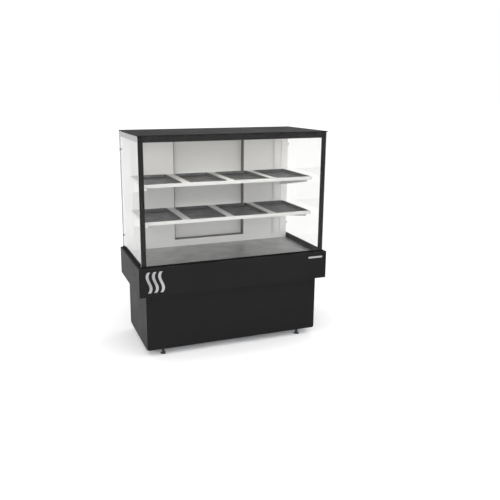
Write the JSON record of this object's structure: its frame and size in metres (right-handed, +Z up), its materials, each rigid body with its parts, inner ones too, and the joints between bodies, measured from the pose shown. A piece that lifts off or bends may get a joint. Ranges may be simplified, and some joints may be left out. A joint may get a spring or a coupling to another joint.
{
  "type": "hot food display case",
  "caption": "Free-standing heated display case: black plinth and fascia, square glass showcase with hanging tray shelves, heated deck and a hinged rear service door.",
  "frame": {"origin": "on the floor, in the middle of the whole object's footprint", "axes": "+Z up, -Y towards the front (the customer's side), +Y towards the rear (the server's side), -X to the left seen from the front"},
  "size_m": [1.2532, 0.643, 1.369],
  "materials": {
    "black_paint": "satin",
    "black_paint_side": "satin",
    "zinc_steel": "satin",
    "stainless": "satin",
    "white_paint": "satin",
    "shelf_paint": "satin",
    "tray_enamel": "satin",
    "clear_glass": "gloss",
    "black_print": "gloss",
    "black_rubber": "matte",
    "foot_plastic": "matte",
    "insulation": "matte",
    "heater_metal": "satin",
    "black_plastic": "matte",
    "knob_plastic": "gloss",
    "red_rocker": "gloss",
    "lamp_lens": "matte",
    "bright_metal": "polished",
    "dial_metal": "satin"
  },
  "bodies": {
    "cabinet": {"base_floor_pan": "zinc_steel", "corner_posts": "zinc_steel", "plinth_front_panel": "black_paint", "plinth_side_panels": "black_paint_side", "plinth_rear_panel": "black_paint", "fascia_floor": "zinc_steel", "front_fascia": "black_paint", "side_fascias": "black_paint_side", "rear_fascia": "black_paint", "ledge_frame": "black_paint", "deck_bearers": "zinc_steel", "element_pan": "zinc_steel", "heating_elements": "heater_metal", "insulation_blocks": "insulation", "deck_plate": "stainless", "front_glass": "clear_glass", "side_glasses": "clear_glass", "glass_gaskets": "black_rubber", "front_glass_border": "black_print", "glass_bolts": "black_paint", "roof_panel": "black_paint", "roof_frame": "black_paint", "light_housing": "white_paint", "light_diffuser": "lamp_lens", "rear_wall_panels": "white_paint", "rear_wall_covers": "black_paint", "rear_cross_members": "white_paint", "uprights": "white_paint", "shelf_brackets": "white_paint", "hinge_wall_halves": "bright_metal", "hinge_pins": "bright_metal", "control_panel": "black_plastic", "thermostat_body": "black_plastic", "switch_frames": "knob_plastic", "thermometer": "dial_metal", "cable_gland": "black_plastic", "front_badges": "bright_metal", "panel_screws": "black_plastic", "shelf_lower": "shelf_paint", "shelf_upper": "shelf_paint"},
    "service_door": {"door_leaf": "white_paint", "door_outer_skin": "black_paint", "door_seal": "black_rubber", "door_handle": "bright_metal", "hinge_door_halves": "bright_metal"},
    "thermostat_knob": {"thermostat_knob": "knob_plastic"},
    "power_rocker": {"power_rocker": "red_rocker"},
    "light_rocker": {"light_rocker": "knob_plastic"},
    "foot_front_left": {"foot_front_left": "foot_plastic"},
    "foot_front_right": {"foot_front_right": "foot_plastic"},
    "foot_rear_left": {"foot_rear_left": "foot_plastic"},
    "foot_rear_right": {"foot_rear_right": "foot_plastic"},
    "tray_lower_1": {"tray_lower_1": "tray_enamel"},
    "tray_lower_2": {"tray_lower_2": "tray_enamel"},
    "tray_lower_3": {"tray_lower_3": "tray_enamel"},
    "tray_lower_4": {"tray_lower_4": "tray_enamel"},
    "tray_upper_1": {"tray_upper_1": "tray_enamel"},
    "tray_upper_2": {"tray_upper_2": "tray_enamel"},
    "tray_upper_3": {"tray_upper_3": "tray_enamel"},
    "tray_upper_4": {"tray_upper_4": "tray_enamel"}
  },
  "joints": [
    {"name": "door_hinge", "type": "hinge", "parent": "cabinet", "child": "service_door", "pos_m": [-0.274, 0.2785, 0.953], "axis": [0, 0, 1], "range_deg": [0, 110]},
    {"name": "thermostat_turn", "type": "hinge", "parent": "cabinet", "child": "thermostat_knob", "pos_m": [0.35, 0.2645, 0.5], "axis": [0, -1, 0], "range_deg": [0, 270]},
    {"name": "power_switch", "type": "hinge", "parent": "cabinet", "child": "power_rocker", "pos_m": [0.408, 0.2645, 0.5], "axis": [-1, 0, 0], "range_deg": [0, 16]},
    {"name": "light_switch", "type": "hinge", "parent": "cabinet", "child": "light_rocker", "pos_m": [0.446, 0.2645, 0.5], "axis": [-1, 0, 0], "range_deg": [0, 16]},
    {"name": "foot_front_left_turn", "type": "hinge", "parent": "cabinet", "child": "foot_front_left", "pos_m": [-0.468, -0.2285, 0.03], "axis": [0, 0, 1], "continuous": true},
    {"name": "foot_front_right_turn", "type": "hinge", "parent": "cabinet", "child": "foot_front_right", "pos_m": [0.468, -0.2285, 0.03], "axis": [0, 0, 1], "continuous": true},
    {"name": "foot_rear_left_turn", "type": "hinge", "parent": "cabinet", "child": "foot_rear_left", "pos_m": [-0.468, 0.2055, 0.03], "axis": [0, 0, 1], "continuous": true},
    {"name": "foot_rear_right_turn", "type": "hinge", "parent": "cabinet", "child": "foot_rear_right", "pos_m": [0.468, 0.2055, 0.03], "axis": [0, 0, 1], "continuous": true},
    {"name": "tray_lower_1_lift", "type": "slide", "parent": "cabinet", "child": "tray_lower_1", "axis": [0, 0, 1], "range_m": [0, 0.1]},
    {"name": "tray_lower_2_lift", "type": "slide", "parent": "cabinet", "child": "tray_lower_2", "axis": [0, 0, 1], "range_m": [0, 0.1]},
    {"name": "tray_lower_3_lift", "type": "slide", "parent": "cabinet", "child": "tray_lower_3", "axis": [0, 0, 1], "range_m": [0, 0.1]},
    {"name": "tray_lower_4_lift", "type": "slide", "parent": "cabinet", "child": "tray_lower_4", "axis": [0, 0, 1], "range_m": [0, 0.1]},
    {"name": "tray_upper_1_lift", "type": "slide", "parent": "cabinet", "child": "tray_upper_1", "axis": [0, 0, 1], "range_m": [0, 0.1]},
    {"name": "tray_upper_2_lift", "type": "slide", "parent": "cabinet", "child": "tray_upper_2", "axis": [0, 0, 1], "range_m": [0, 0.1]},
    {"name": "tray_upper_3_lift", "type": "slide", "parent": "cabinet", "child": "tray_upper_3", "axis": [0, 0, 1], "range_m": [0, 0.1]},
    {"name": "tray_upper_4_lift", "type": "slide", "parent": "cabinet", "child": "tray_upper_4", "axis": [0, 0, 1], "range_m": [0, 0.1]}
  ]
}
